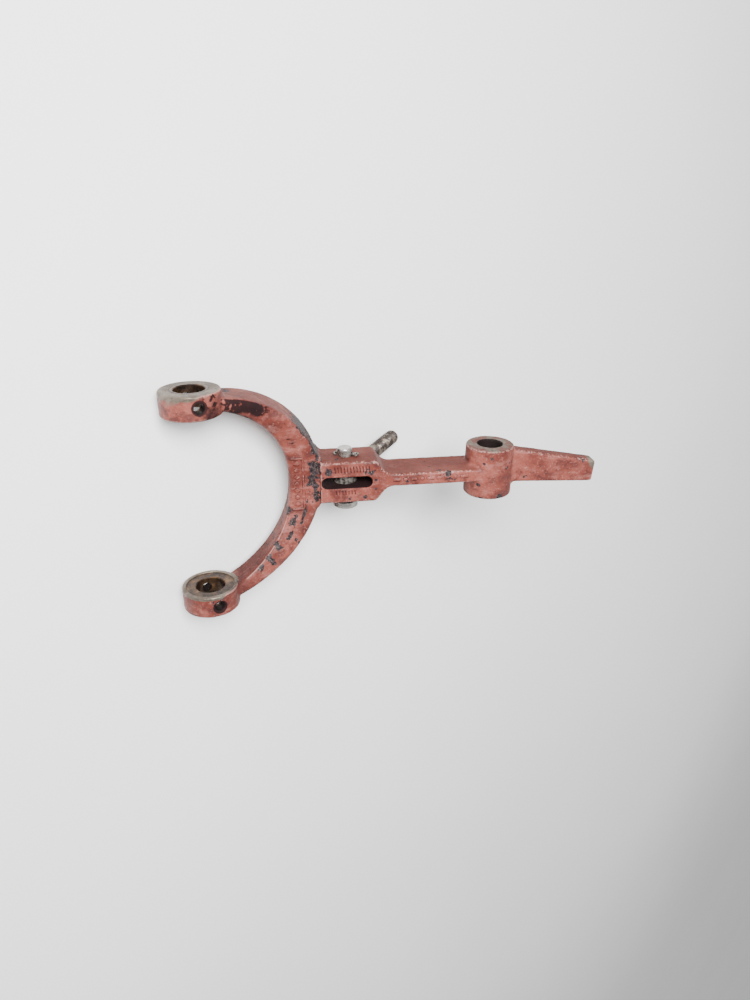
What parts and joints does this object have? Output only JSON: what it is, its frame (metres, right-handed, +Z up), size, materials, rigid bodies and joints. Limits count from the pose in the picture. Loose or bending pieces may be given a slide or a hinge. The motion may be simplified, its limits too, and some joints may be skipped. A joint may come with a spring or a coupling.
{
  "type": "flaring tool yoke lever",
  "caption": "Cast fork lever for a flaring tool: two bushed eyes, a swing bolt pinned in a slotted block, a fulcrum boss and a flat tang.",
  "frame": {"origin": "on the ground, under the middle of the part's bounding box, as it rests on both eyes and the swing bolt's tip", "axes": "+Z up; +Y along the clevis pin, the eyes and the fulcrum bore; the handle rises towards +X and the fork lies towards -X"},
  "size_m": [0.2494, 0.1374, 0.1322],
  "materials": {
    "painted_iron": "worn, chipped red oxide paint on a rough casting",
    "bronze": "dull, oiled",
    "bright_steel": "bright, worn smooth",
    "split_pin_steel": "bright loop, dirty legs",
    "bolt_steel": "dark steel with rust in the thread"
  },
  "bodies": {
    "yoke": {"yoke_casting": "painted_iron", "eye_bush_near": "bronze", "eye_bush_far": "bronze"},
    "pin": {"clevis_pin": "bright_steel", "split_pin": "split_pin_steel"},
    "bolt": {"swing_bolt": "bolt_steel"}
  },
  "joints": [
    {"name": "bolt_swing", "type": "hinge", "parent": "yoke", "child": "bolt", "pos_m": [-0.0169, 0, 0.03782], "axis": [0, 1, 0], "range_deg": [0, 63.4]},
    {"name": "pin_end_float", "type": "slide", "parent": "yoke", "child": "pin", "axis": [0, 1, 0], "range_m": [0, 0.0031]}
  ]
}
